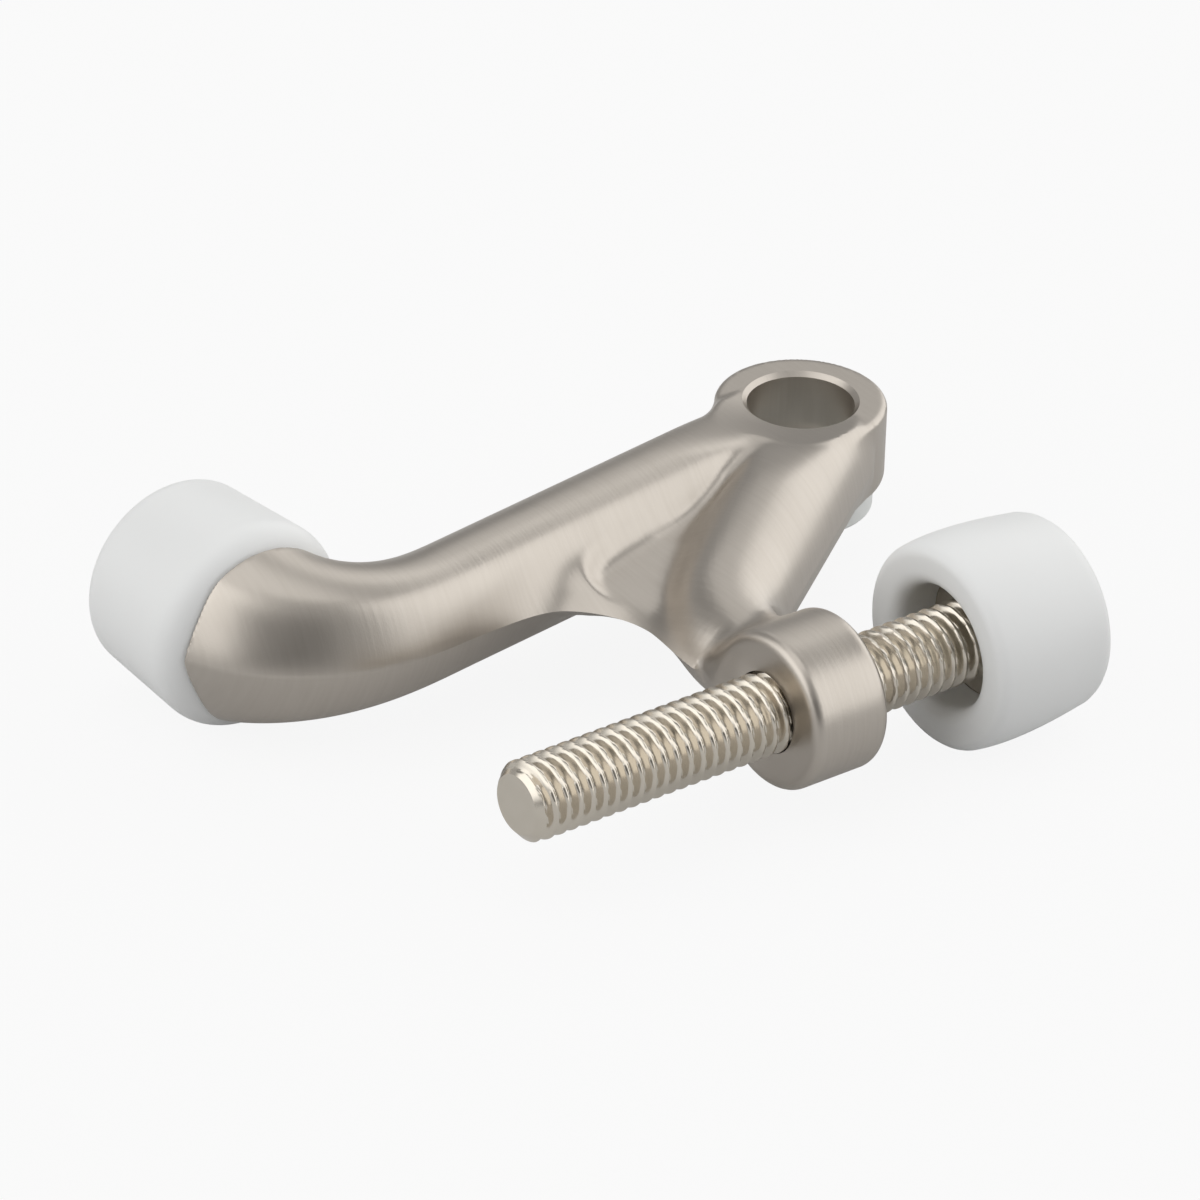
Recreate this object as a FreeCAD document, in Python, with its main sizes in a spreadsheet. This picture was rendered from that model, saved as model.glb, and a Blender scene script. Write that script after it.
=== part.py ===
import FreeCAD, Part
import os
import Sketcher

# Hinge pin door stop. Millimetres. The origin is on the hinge pin's axis, at the seat under the bush:
# +Z runs up the pin, +X the way the screw's bumper faces, +Y the way the arm's bumper faces.

# Driving dimensions. Offsets are measured from the pin's axis, angles in degrees from -X towards -Y.
DRIVING = {
    "eye_outer_diameter": 16.6,
    "eye_bore_diameter": 10.4,
    "eye_height": 8.7,
    "eye_chamfer": 0.45,
    "eye_edge_radius": 0.6,
    "spot_face_margin": 0.1,
    "swell_angle": 14.0,
    "bush_bore_diameter": 8.1,
    "bush_flange_margin": 1.0,
    "bush_flange_thickness": 2.4,
    "bush_spigot_length": 2.5,
    "bush_edge_radius": 0.4,
    "bush_clearance": 0.02,
    "arm_diameter": 12.2,
    "arm_angle": 7.5,
    "arm_straight": 53.0,
    "arm_shoulder_diameter": 18.0,
    "arm_bumper_offset": 64.45,
    "arm_bumper_rim": 0.4,
    "rib_diameter": 12.0,
    "rib_angle": 35.6,
    "rib_straight": 27.0,
    "rib_bend_diameter": 11.4,
    "web_thickness": 7.6,
    "web_draft": 55.0,
    "crotch_radius": 9.0,
    "crotch_overlap": 1.5,
    "boss_diameter": 15.6,
    "boss_length": 8.6,
    "boss_offset": 29.9,
    "boss_edge_radius": 1.0,
    "screw_offset": 38.35,
    "screw_diameter": 7.94,
    "screw_clearance": 0.06,
    "screw_shank": 54.05,
    "thread_pitch": 1.411,
    "thread_depth": 0.85,
    "thread_crest": 0.3,
    "thread_root": 0.25,
    "screw_end_chamfer": 1.0,
    "screw_gap": 10.7,
    "bumper_length": 15.1,
    "bumper_rim_diameter": 21.2,
    "bumper_end_diameter": 19.2,
    "bumper_rim_radius": 2.8,
    "bumper_end_radius": 2.0,
    "mouth_diameter": 14.6,
    "mouth_radius": 0.45,
    "lip_depth": 5.7,
    "head_diameter": 17.0,
    "head_thickness": 4.2,
    "head_clearance": 0.05,
}

# Sizes that follow from the driving ones.
DERIVED = {
    "middle": "bush_flange_thickness + eye_height / 2",
    "web_left": "boss_offset + boss_length / 2",
    "rib_side": "(eye_outer_diameter - rib_diameter) / 2",
    "boss_face": "boss_length / 2 - boss_offset",
    "screw_rim": "boss_face + screw_gap",
    "screw_seat": "screw_rim + lip_depth + head_clearance",
    "neck_diameter": "mouth_diameter - 2 * head_clearance",
    "crotch_x": "-web_left - crotch_radius",
    "arm_front_y": "(crotch_x * sin(arm_angle) - arm_diameter / 2) / cos(arm_angle)",
    "crotch_top_y": "arm_front_y + crotch_overlap",
    "crotch_y": "crotch_top_y - crotch_radius",
    "bend_heading": "(rib_angle + 90) / 2",
    "bend_x": "rib_bend_diameter / 2 * sin(bend_heading) - web_left",
    "bend_edge_x": "bend_x + rib_bend_diameter / 2 * sin(bend_heading)",
    "bend_along": "(eye_outer_diameter / 2 * sin(rib_angle) - bend_edge_x) / cos(rib_angle)",
    "bend_edge_y": "-eye_outer_diameter / 2 * cos(rib_angle) - bend_along * sin(rib_angle)",
    "bend_y": "bend_edge_y + rib_bend_diameter / 2 * cos(bend_heading)",
    "arm_inset": "arm_diameter / 4",
    "rib_inset": "rib_diameter / 4",
    "bend_inset": "rib_bend_diameter / 4",
    "eye_wall": "(eye_outer_diameter - eye_bore_diameter) / 2",
    "eye_round": "min(eye_edge_radius; eye_height / 4; eye_wall / 4)",
    "bore_chamfer": "min(eye_chamfer; eye_wall / 4)",
    "bush_flange_diameter": "eye_outer_diameter - 2 * bush_flange_margin",
    "bush_lip": "(bush_flange_diameter - eye_bore_diameter) / 2",
    "bush_round": "min(bush_edge_radius; bush_flange_thickness / 4; bush_lip / 4)",
    "boss_round": "min(boss_edge_radius; boss_length / 4; (boss_diameter - screw_diameter) / 6)",
    "end_chamfer": "min(screw_end_chamfer; screw_diameter / 6)",
    "groove_root": "screw_diameter / 2 - thread_depth",
    "groove_half": "(thread_pitch - thread_crest) / 2",
    "swell_height": "arm_diameter / 2",
    "swell_start": "eye_bore_diameter / 2 + bore_chamfer",
    "rim_wall": "(bumper_rim_diameter - mouth_diameter) / 2",
    "rim_round": "min(bumper_rim_radius; 0.85 * rim_wall)",
    "mouth_round": "min(mouth_radius; 0.14 * rim_wall)",
    "end_round": "min(bumper_end_radius; bumper_length / 6; bumper_end_diameter / 6)",
}

# The elbow is lofted through this many steps, and its radius grows by this power of the way round.
ELBOW_STEPS = 4
ELBOW_SWELL = 1.3
# Shares of the arm's straight run where the loft has its first sections; the plain bar ends at the first.
ARM_SHARES = (0.85, 0.93)
RIB_SHARES = (0, 0.5, 1)
# Two lengths closer than this are the same.
SAME = 0.001

doc = FreeCAD.newDocument("HingePinDoorStop")
sheet = doc.addObject("Spreadsheet::Sheet", "Sizes")


def fill_sheet():
    """Write the driving and the derived sizes into the sheet, one row each."""
    row = 0
    for alias, size in DRIVING.items():
        row += 1
        sheet.set(f"A{row}", alias)
        sheet.set(f"B{row}", str(size))
        sheet.setAlias(f"B{row}", alias)
    for alias, formula in DERIVED.items():
        row += 1
        sheet.set(f"A{row}", alias)
        sheet.set(f"B{row}", "=" + formula)
        sheet.setAlias(f"B{row}", alias)
    doc.recompute()


fill_sheet()
ALIASES = sorted(list(DRIVING) + list(DERIVED), key=len, reverse=True)


def cells(formula):
    """Turn plain size names in a formula into references to the sheet's cells."""
    words = []
    word = ""
    for letter in formula + " ":
        if letter.isalnum() or letter in "_.":
            word += letter
            continue
        words.append("Sizes." + word if word in ALIASES else word)
        words.append(letter)
        word = ""
    return "".join(words).strip()


def value(formula):
    """Work out a formula of size names as a plain number."""
    return float(sheet.evalExpression(cells(formula)))


def bind(item, **formulas):
    """Tie an object's properties to formulas of size names."""
    for name, formula in formulas.items():
        item.setExpression(name, cells(formula))


def place(item, x, y, z, yaw="0", pitch="0", roll="0"):
    """Tie an object's placement to formulas for its point and its yaw, pitch and roll."""
    formula = f"placement(vector({x}; {y}; {z}); rotation({yaw}; {pitch}; {roll}))"
    item.setExpression("Placement", cells(formula))


def make(kind, name, **formulas):
    """Add a document object with its sizes tied to the sheet."""
    item = doc.addObject(kind, name)
    bind(item, **formulas)
    return item


def origin_plane(body, role):
    """Find one of a body's own origin planes."""
    return [item for item in body.Origin.OriginFeatures if item.Role == role][0]


def outline_sketch(body, role, name, points, arcs=()):
    """Sketch a closed outline on one of a body's origin planes.

    points are pairs of formulas; arcs holds the numbers of the sides that are arcs, with centre and radius.
    """
    sketch = body.newObject("Sketcher::SketchObject", name)
    sketch.AttachmentSupport = [(origin_plane(body, role), "")]
    sketch.MapMode = "FlatFace"
    arcs = dict(arcs)
    corners = [FreeCAD.Vector(value(x), value(y), 0) for x, y in points]
    for side, start in enumerate(corners):
        end = corners[(side + 1) % len(corners)]
        if side not in arcs:
            sketch.addGeometry(Part.LineSegment(start, end), False)
            continue
        middle_x, middle_y, radius = arcs[side]
        middle = FreeCAD.Vector(value(middle_x), value(middle_y), 0)
        half_way = (start + end) * 0.5 - middle
        through = middle + half_way * (value(radius) / half_way.Length)
        sketch.addGeometry(Part.Arc(start, through, end), False)
    tie_outline(sketch, points, arcs)
    return sketch


def tie_outline(sketch, points, arcs):
    """Join the sides of an outline and tie its corners to their formulas."""
    count = len(points)
    ends = []
    for side in range(count):
        reversed_arc = side in arcs and not starts_at(sketch, side, points[side])
        ends.append((2, 1) if reversed_arc else (1, 2))
    for side in range(count):
        after = (side + 1) % count
        sketch.addConstraint(Sketcher.Constraint("Coincident", side, ends[side][1], after, ends[after][0]))
    for side, (x, y) in enumerate(points):
        for kind, formula, axis in (("DistanceX", x, -2), ("DistanceY", y, -1)):
            if formula == "0":
                on_axis = Sketcher.Constraint("PointOnObject", side, ends[side][0], axis)
                sketch.addConstraint(on_axis)
                continue
            distance = Sketcher.Constraint(kind, -1, 1, side, ends[side][0], value(formula))
            index = sketch.addConstraint(distance)
            sketch.setExpression(f"Constraints[{index}]", cells(formula))
    for side, (_, _, radius) in arcs.items():
        index = sketch.addConstraint(Sketcher.Constraint("Radius", side, value(radius)))
        sketch.setExpression(f"Constraints[{index}]", cells(radius))


def starts_at(sketch, side, point):
    """Say whether a sketched side's first end is the given corner."""
    corner = FreeCAD.Vector(value(point[0]), value(point[1]), 0)
    return sketch.getPoint(side, 1).distanceToPoint(corner) < SAME


def turned(name, points):
    """Make a turned piece: an outline of radius and height formulas, spun about its own Z axis."""
    body = doc.addObject("PartDesign::Body", name)
    sketch = outline_sketch(body, "XZ_Plane", name + "_outline", points)
    spin = body.newObject("PartDesign::Revolution", name + "_spin")
    spin.Profile = sketch
    spin.ReferenceAxis = (sketch, ["V_Axis"])
    spin.Angle = 360
    doc.recompute()
    return body


def round_rim(body, name, edge_radius, edge_height, radius):
    """Round the circular edge of a turned piece that has the given radius and height."""
    base = body.Tip
    names = []
    for number, edge in enumerate(base.Shape.Edges, 1):
        if not isinstance(edge.Curve, Part.Circle):
            continue
        same_radius = abs(edge.Curve.Radius - value(edge_radius)) < SAME
        same_height = abs(edge.Curve.Center.z - value(edge_height)) < SAME
        if same_radius and same_height:
            names.append(f"Edge{number}")
    fillet = body.newObject("PartDesign::Fillet", name)
    fillet.Base = (base, names)
    bind(fillet, Radius=radius)
    doc.recompute()
    return fillet


def cylinder(name, diameter, length, x, y, z, yaw="0", pitch="0"):
    """Add a cylinder whose axis starts at a point and runs along the turned Z axis."""
    item = make("Part::Cylinder", name, Radius=f"({diameter}) / 2", Height=length)
    place(item, x, y, z, yaw, pitch)
    return item


def ring_section(name, radius, x, y, heading):
    """Add an upright circle at mid height, square to a heading measured from -X towards -Y."""
    item = make("Part::Circle", name, Radius=radius)
    place(item, x, y, "middle", f"90 + ({heading})", "0", "90")
    return item


def loft(name, sections):
    """Add a smooth solid through a run of sections."""
    item = doc.addObject("Part::Loft", name)
    item.Sections = sections
    item.Solid = True
    item.Ruled = False
    item.Closed = False
    return item


def fuse(name, pieces):
    """Join pieces into one solid."""
    item = doc.addObject("Part::MultiFuse", name)
    item.Shapes = pieces
    item.Refine = False
    return item


def cut(name, base, tool):
    """Take one solid out of another."""
    item = doc.addObject("Part::Cut", name)
    item.Base = base
    item.Tool = tool
    item.Refine = False
    return item


def make_elbow():
    """The arm's end: upright circles that fan round from the arm's line to face +Y, and grow to the shoulder."""
    sections = []
    for number, share in enumerate(ARM_SHARES):
        along = f"arm_straight * {share}"
        spot = (f"-({along}) * cos(arm_angle)", f"-({along}) * sin(arm_angle)")
        sections.append(ring_section(f"arm_section_{number}", "arm_diameter / 2", *spot, "arm_angle"))
    start_x = "-arm_straight * cos(arm_angle) - arm_diameter / 2 * sin(arm_angle)"
    start_y = "-arm_straight * sin(arm_angle) + arm_diameter / 2 * cos(arm_angle)"
    end_x = "arm_shoulder_diameter / 2 - arm_bumper_offset"
    end_y = "-arm_bumper_rim"
    for step in range(ELBOW_STEPS + 1):
        share = step / ELBOW_STEPS
        heading = f"arm_angle - {share} * (90 + arm_angle)"
        swell = share ** ELBOW_SWELL
        radius = f"(arm_diameter + {swell} * (arm_shoulder_diameter - arm_diameter)) / 2"
        inner_x = f"{start_x} + {share} * (({end_x}) - ({start_x}))"
        inner_y = f"{start_y} + {share} * (({end_y}) - ({start_y}))"
        x = f"{inner_x} + ({radius}) * sin({heading})"
        y = f"{inner_y} - ({radius}) * cos({heading})"
        sections.append(ring_section(f"elbow_section_{step}", radius, x, y, heading))
    half_way = len(sections) - ELBOW_STEPS // 2
    return [loft("elbow_start", sections[:half_way]), loft("elbow_end", sections[half_way - 1:])]


def make_rib():
    """The second limb: a round rib, flush with the eye's front, that bends down to the boss."""
    sections = []
    for number, share in enumerate(RIB_SHARES):
        along = f"{share} * rib_straight"
        x = f"rib_side * sin(rib_angle) - {along} * cos(rib_angle)"
        y = f"-rib_side * cos(rib_angle) - {along} * sin(rib_angle)"
        sections.append(ring_section(f"rib_section_{number}", "rib_diameter / 2", x, y, "rib_angle"))
    sections.append(ring_section("rib_bend", "rib_bend_diameter / 2", "bend_x", "bend_y", "bend_heading"))
    foot_y = "boss_length / 2 - screw_offset"
    sections.append(ring_section("rib_foot", "boss_length / 2", "-boss_offset", foot_y, "90"))
    return loft("rib", sections)


def make_web():
    """The web that fills the angle between arm and rib, drafted so that it thins out to the crotch."""
    body = doc.addObject("PartDesign::Body", "web")
    points = [
        ("-arm_inset * sin(arm_angle)", "arm_inset * cos(arm_angle)"),
        ("crotch_x", "crotch_x * tan(arm_angle) + arm_inset / cos(arm_angle)"),
        ("crotch_x", "crotch_top_y"),
        ("-web_left", "crotch_y"),
        ("-web_left", "bend_y"),
        ("bend_x + bend_inset * sin(bend_heading)", "bend_y - bend_inset * cos(bend_heading)"),
        ("(rib_side + rib_inset) * sin(rib_angle)", "-(rib_side + rib_inset) * cos(rib_angle)"),
    ]
    crotch_side = 2
    crotch = ("crotch_x", "crotch_y", "crotch_radius")
    sketch = outline_sketch(body, "XY_Plane", "web_outline", points, {crotch_side: crotch})
    pad = body.newObject("PartDesign::Pad", "web_pad")
    pad.Profile = sketch
    bind(pad, Length="web_thickness / 2", TaperAngle="-web_draft")
    doc.recompute()
    mirror = body.newObject("PartDesign::Mirrored", "web_both_sides")
    mirror.Originals = [pad]
    mirror.MirrorPlane = (origin_plane(body, "XY_Plane"), [""])
    body.Tip = mirror
    place(body, "0", "0", "middle")
    doc.recompute()
    return body


def make_boss():
    """The threaded boss, with rounded rims, lying along X."""
    points = [
        ("0", "0"),
        ("boss_diameter / 2", "0"),
        ("boss_diameter / 2", "boss_length"),
        ("0", "boss_length"),
    ]
    boss = turned("boss", points)
    round_rim(boss, "boss_near_round", "boss_diameter / 2", "0", "boss_round")
    round_rim(boss, "boss_far_round", "boss_diameter / 2", "boss_length", "boss_round")
    place(boss, "-web_left", "-screw_offset", "middle", "0", "90")
    return boss


def make_eye():
    """The eye round the hinge pin, with softened rims."""
    points = [
        ("0", "0"),
        ("eye_outer_diameter / 2", "0"),
        ("eye_outer_diameter / 2", "eye_height"),
        ("0", "eye_height"),
    ]
    eye = turned("eye", points)
    round_rim(eye, "eye_under_round", "eye_outer_diameter / 2", "0", "eye_round")
    round_rim(eye, "eye_top_round", "eye_outer_diameter / 2", "eye_height", "eye_round")
    place(eye, "0", "0", "bush_flange_thickness")
    return eye


def make_stop_body():
    """The casting: eye, arm with elbow and bumper post, rib, web and boss in one piece, then bored."""
    eye = make_eye()
    bar_length = f"arm_straight * {ARM_SHARES[0]}"
    arm = cylinder("arm", "arm_diameter", bar_length, "0", "0", "middle", "180 + arm_angle", "90")
    neck = cylinder("post_neck", "neck_diameter", "lip_depth + head_clearance",
                    "-arm_bumper_offset", "-arm_bumper_rim", "middle", "90", "90")
    head = cylinder("post_head", "head_diameter - 2 * head_clearance", "head_thickness - 2 * head_clearance",
                    "-arm_bumper_offset", "lip_depth + head_clearance - arm_bumper_rim", "middle", "90", "90")
    boss = make_boss()
    limbs = fuse("limbs", [arm, *make_elbow(), make_rib(), make_web(), boss])

    swell = make("Part::Cone", "top_swell", Radius1="swell_start", Height="swell_height",
                 Radius2="swell_start + swell_height / tan(swell_angle)")
    place(swell, "0", "0", "bush_flange_thickness + eye_height")
    under_face = cylinder("under_spot_face", "eye_outer_diameter + 2 * spot_face_margin", "arm_diameter",
                          "0", "0", "bush_flange_thickness - arm_diameter")
    faced = cut("faced_limbs", limbs, fuse("spot_faces", [swell, under_face]))
    casting = fuse("casting", [faced, eye, neck, head])

    bore = cylinder("eye_bore", "eye_bore_diameter", "eye_height", "0", "0", "bush_flange_thickness")
    chamfer = make("Part::Cone", "eye_bore_chamfer", Radius1="eye_bore_diameter / 2",
                   Radius2="eye_bore_diameter / 2 + bore_chamfer", Height="bore_chamfer")
    place(chamfer, "0", "0", "bush_flange_thickness + eye_height - bore_chamfer")
    screw_hole = cylinder("screw_hole", "screw_diameter + 2 * screw_clearance", "boss_length",
                          "-web_left", "-screw_offset", "middle", "0", "90")
    return cut("stop_body", casting, fuse("bores", [bore, chamfer, screw_hole]))


def make_bush():
    """The plain flanged bush that sits under the eye and lines the lower end of its bore."""
    spigot = "eye_bore_diameter / 2 - bush_clearance"
    flange = "bush_flange_diameter / 2"
    points = [
        ("bush_bore_diameter / 2", "0"),
        (flange, "0"),
        (flange, "bush_flange_thickness"),
        (spigot, "bush_flange_thickness"),
        (spigot, "bush_flange_thickness + bush_spigot_length"),
        ("bush_bore_diameter / 2", "bush_flange_thickness + bush_spigot_length"),
    ]
    bush = turned("pin_bush", points)
    round_rim(bush, "bush_lower_round", flange, "0", "bush_round")
    round_rim(bush, "bush_upper_round", flange, "bush_flange_thickness", "bush_round")
    return bush


def cut_thread(body):
    """Cut the thread's form into a screw as a row of rings, one a pitch, from its free end to its head."""
    crest = "screw_diameter / 2"
    points = [
        (f"{crest} + thread_depth", "thread_pitch - groove_half"),
        (f"{crest} + thread_depth", "thread_pitch + groove_half"),
        (crest, "thread_pitch + groove_half"),
        ("groove_root", "thread_pitch + thread_root / 2"),
        ("groove_root", "thread_pitch - thread_root / 2"),
        (crest, "thread_pitch - groove_half"),
    ]
    sketch = outline_sketch(body, "XZ_Plane", "groove_outline", points)
    groove = body.newObject("PartDesign::Groove", "groove")
    groove.Profile = sketch
    groove.ReferenceAxis = (sketch, ["V_Axis"])
    groove.Angle = 360
    doc.recompute()
    rings = body.newObject("PartDesign::LinearPattern", "thread_rings")
    rings.Originals = [groove]
    rings.Direction = (sketch, ["V_Axis"])
    count = "floor(screw_shank / thread_pitch) - 1"
    bind(rings, Occurrences=count, Length=f"({count} - 1) * thread_pitch")
    body.Tip = rings
    doc.recompute()


def make_screw():
    """The adjusting screw: a shank with the thread's rings, and a round head for the bumper."""
    shank = "screw_diameter / 2"
    head = "head_diameter / 2 - head_clearance"
    top = "screw_shank + head_thickness - 2 * head_clearance"
    points = [
        ("0", "0"),
        ("screw_diameter / 2 - end_chamfer", "0"),
        (shank, "end_chamfer"),
        (shank, "screw_shank"),
        (head, "screw_shank"),
        (head, top),
        ("0", top),
    ]
    screw = turned("adjusting_screw", points)
    cut_thread(screw)
    place(screw, "screw_seat - screw_shank", "-screw_offset", "middle", "0", "90")
    return screw


def make_bumper(name):
    """A moulded rubber bumper: a tapered cup with a narrow mouth that snaps over a round head."""
    inner_end = "lip_depth + head_thickness"
    points = [
        ("mouth_diameter / 2", "0"),
        ("bumper_rim_diameter / 2", "0"),
        ("bumper_end_diameter / 2", "bumper_length"),
        ("0", "bumper_length"),
        ("0", inner_end),
        ("head_diameter / 2", inner_end),
        ("head_diameter / 2", "lip_depth"),
        ("mouth_diameter / 2", "lip_depth"),
    ]
    bumper = turned(name, points)
    round_rim(bumper, name + "_rim_round", "bumper_rim_diameter / 2", "0", "rim_round")
    round_rim(bumper, name + "_end_round", "bumper_end_diameter / 2", "bumper_length", "end_round")
    round_rim(bumper, name + "_mouth_round", "mouth_diameter / 2", "0", "mouth_round")
    return bumper


def check_and_write(pieces):
    """Stop if anything failed to build, then write one file for each piece."""
    for item in doc.Objects:
        if "Invalid" in item.State or "Error" in item.State:
            raise RuntimeError(f"{item.Name} did not build: {item.State}")
    for piece in pieces:
        shape = piece.Shape
        if shape.isNull() or not shape.isValid():
            raise RuntimeError(f"{piece.Label} has no valid shape")
    os.makedirs("parts", exist_ok=True)
    for piece in pieces:
        piece.Shape.exportStep(f"parts/{piece.Label}.step")
        box = piece.Shape.BoundBox
        print(piece.Label, "solids", len(piece.Shape.Solids), "volume", round(piece.Shape.Volume, 1),
              "size", round(box.XLength, 2), round(box.YLength, 2), round(box.ZLength, 2))


stop_body = make_stop_body()
pin_bush = make_bush()
adjusting_screw = make_screw()
arm_bumper = make_bumper("arm_bumper")
place(arm_bumper, "-arm_bumper_offset", "-arm_bumper_rim", "middle", "90", "90")
screw_bumper = make_bumper("screw_bumper")
place(screw_bumper, "screw_rim", "-screw_offset", "middle", "0", "90")
doc.recompute()
check_and_write([stop_body, pin_bush, adjusting_screw, arm_bumper, screw_bumper])
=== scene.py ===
import math

import bmesh
import bpy
import numpy as np
from mathutils import Matrix


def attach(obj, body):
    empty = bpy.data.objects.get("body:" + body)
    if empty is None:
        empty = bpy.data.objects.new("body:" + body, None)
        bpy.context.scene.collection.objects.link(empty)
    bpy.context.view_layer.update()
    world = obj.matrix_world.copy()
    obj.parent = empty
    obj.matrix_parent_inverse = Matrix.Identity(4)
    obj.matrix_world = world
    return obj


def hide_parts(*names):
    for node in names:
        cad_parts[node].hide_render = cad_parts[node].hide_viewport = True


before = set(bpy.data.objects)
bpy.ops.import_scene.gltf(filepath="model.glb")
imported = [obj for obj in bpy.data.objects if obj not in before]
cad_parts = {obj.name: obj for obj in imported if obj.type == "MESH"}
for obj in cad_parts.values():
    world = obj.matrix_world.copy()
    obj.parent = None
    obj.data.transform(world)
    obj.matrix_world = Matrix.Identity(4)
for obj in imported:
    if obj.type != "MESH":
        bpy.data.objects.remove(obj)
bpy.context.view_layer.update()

# Hinge pin door stop. Shapes are worked out in millimetres about the casting's mid plane, and made in metres.
MM = 0.001
scene = bpy.context.scene
scene.view_settings.view_transform = "Standard"

# Height of the casting's mid plane in the frame. This and the sizes below are in millimetres.
MID_HEIGHT = 6.75

# The eye, its machined faces and its bore.
EYE_RADIUS = 8.3
EYE_HALF = 4.35
EYE_TOP_ROUND = 0.6
EYE_UNDER_ROUND = 1.5
SPOT_RADIUS = 8.4
FACE_BLEND = 1.0
SWELL_SLOPE = 0.19
BORE_RADIUS = 5.2
BORE_CHAMFER = 0.45
BORE_REACH = 9.0
BORE_SEGMENTS = 96

# How limbs and eye run together: a crease, but a soft blend on the side that the limbs leave by.
EYE_CREASE = 0.05
EYE_BLEND = 2.6
EYE_BLEND_HEADING = (0.9, 0.4)
EYE_BLEND_START = 0.2
EYE_ZONE_RADIUS = 14.0

# The arm. A flank is the slope of the faces that meet in the parting line,
# and how far off the axis those faces lie for a radius of 1.
ARM_RADIUS = 6.1
ARM_ANGLE = math.radians(7.5)
ARM_LENGTH = 53.0
ARM_FLANK = (math.radians(25.0), 0.93)
FLANK_BLEND = 1.0

# The elbow and the shoulder under the arm's bumper.
ELBOW_START = 46.0
ELBOW_SWELL = 1.6
ELBOW_ROUNDS = 18
ELBOW_END_GAP = 0.01
SHOULDER_RADIUS = 9.0
SHOULDER_INSET = 2.0
SHOULDER_HALF = 1.5
SHOULDER_ROUND = 0.4
SHOULDER_BLEND = 4.0
INNER_CREASE = 0.01
INNER_BLEND = 0.8
INNER_BLEND_OFF = 3.0
INNER_BLEND_X = -48.5
INNER_BLEND_RUN = 3.0

# The neck and head on the arm's end, which the bumper is pushed over.
CAP_X = -64.45
CAP_RIM_Y = -0.4
CAP_RIM_BLEND = 0.3
NECK_RADIUS = 7.25
NECK_END = 5.35
NECK_OVERLAP = 2.0
HEAD_RADIUS = 8.45
HEAD_END = 9.45
HEAD_ROUND = 0.2

# The rib from the eye to the boss, and the point and radius where it bends down.
RIB_RADIUS = 6.0
RIB_ANGLE = math.radians(35.6)
RIB_FLANK = (math.radians(10.0), 1.0)
RIB_START = 4.0
RIB_LENGTH = 27.0
RIB_STRAIGHT = 15.0
RIB_BEND = (-29.1, -24.8, 5.1)
RIB_BLEND = 1.6
CORNER_CUT = 0.25
CORNER_ROUNDS = 4

# The boss and the screw's hole in it.
BOSS_X = -29.9
BOSS_HALF = 4.3
BOSS_RADIUS = 7.8
BOSS_ROUND = 1.0
BOSS_BLEND = 2.5
SCREW_Y = -38.35
SCREW_HOLE = 4.03
HOLE_MARGIN = 3
HOLE_SEGMENTS = 64

# Room for the screw's bumper when the screw is fully in: in front of this y, nothing lies right of this x.
BUMPER_ROOM_X = -25.55
BUMPER_ROOM_Y = -28.0
BUMPER_ROOM_SLOPE = 2.0
BUMPER_ROOM_BLEND = 0.2

# The web between arm and rib, with its sloping flank at the crotch.
WEB_LEFT = -34.2
WEB_END = -46.0
WEB_TOP = 2.6
WEB_FLANK = math.radians(52.0)
WEB_TOP_BLEND = 1.5
WEB_FOOT = 2.0
WEB_FOOT_SLOPE = 0.5
WEB_FOOT_BLEND = 3.0
WEB_BLEND = 2.2
CROTCH_RADIUS = 10.0
CROTCH_TOP = -11.3

# The valley sunk in the web's top. In plan: x, y and half width along its middle.
VALLEY_UPPER = [(-15.0, -7.3, 0.3), (-29.5, -14.8, 4.8)]
VALLEY_LOWER = [(-29.5, -14.8, 4.8), (-33.0, -22.0, 3.0), (-33.5, -31.0, 3.0)]
VALLEY_FLOOR = 0.75
VALLEY_RISE = 0.11
VALLEY_RISE_RUN = 12.0
VALLEY_WALL_SLOPE = 0.5
VALLEY_BEND_BLEND = 1.0
VALLEY_FOOT_BLEND = 1.2
VALLEY_RIM_BLEND = 1.0

# The grid that the casting's skin is drawn on, and the steps that bring the skin onto the surface.
GRID_STEP = 0.3
GRID_X = (-75.0, 9.3)
GRID_Y = (-47.1, 10.2)
GRID_LAYERS = 34
MID_SNAP = 0.01
WELD_DISTANCE = 0.002
FLAT_LIMIT = 1e-6
SETTLE_ROUNDS = 6
SETTLE_NUDGE = 0.02
SETTLE_REACH = 0.3
SETTLE_LEAST_SLOPE = 0.2

# The screw: a right-hand thread with rounded crests and roots, and a round head inside the bumper.
PITCH = 25.4 / 18
CREST = 3.95
ROOT = 3.08
ROOT_SHARE = 0.14
FLANK_SHARE = 0.70
THREAD_ROUNDING = 0.35
SCREW_END = -63.2
SCREW_END_RADIUS = 2.95
SCREW_END_SLOPE = 1.1
SCREW_SEAT = -9.15
HEAD_FACE = -5.05
HEAD_EDGE = 0.25
SCREW_SEGMENTS = 72
ROWS_PER_PITCH = 12

# The screw's bumper: a moulded cup with a narrow mouth, whose lip is rounded on the way in.
BUMPER_RIM_X = -14.1
BUMPER_END_X = 0.2
BUMPER_RIM_RADIUS = 10.2
BUMPER_BELLY = (10.75, -9.0)
BUMPER_END_RADIUS = 9.7
BUMPER_RIM_ROUND = 1.2
BUMPER_END_ROUND = 2.0
BUMPER_SIDE_STEPS = 12
BUMPER_SEGMENTS = 96
MOUTH_RADIUS = 6.1
MOUTH_ROUND = 1.5
CAVITY_RADIUS = 8.5
CAVITY_FRONT_X = -9.2
CAVITY_END_X = -5.0
QUARTER_STEPS = 6

# Edges that bend by more than this are shaded sharp.
CASTING_SHARP = math.radians(24)
SCREW_SHARP = math.radians(40)
BUMPER_SHARP = math.radians(50)

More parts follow.
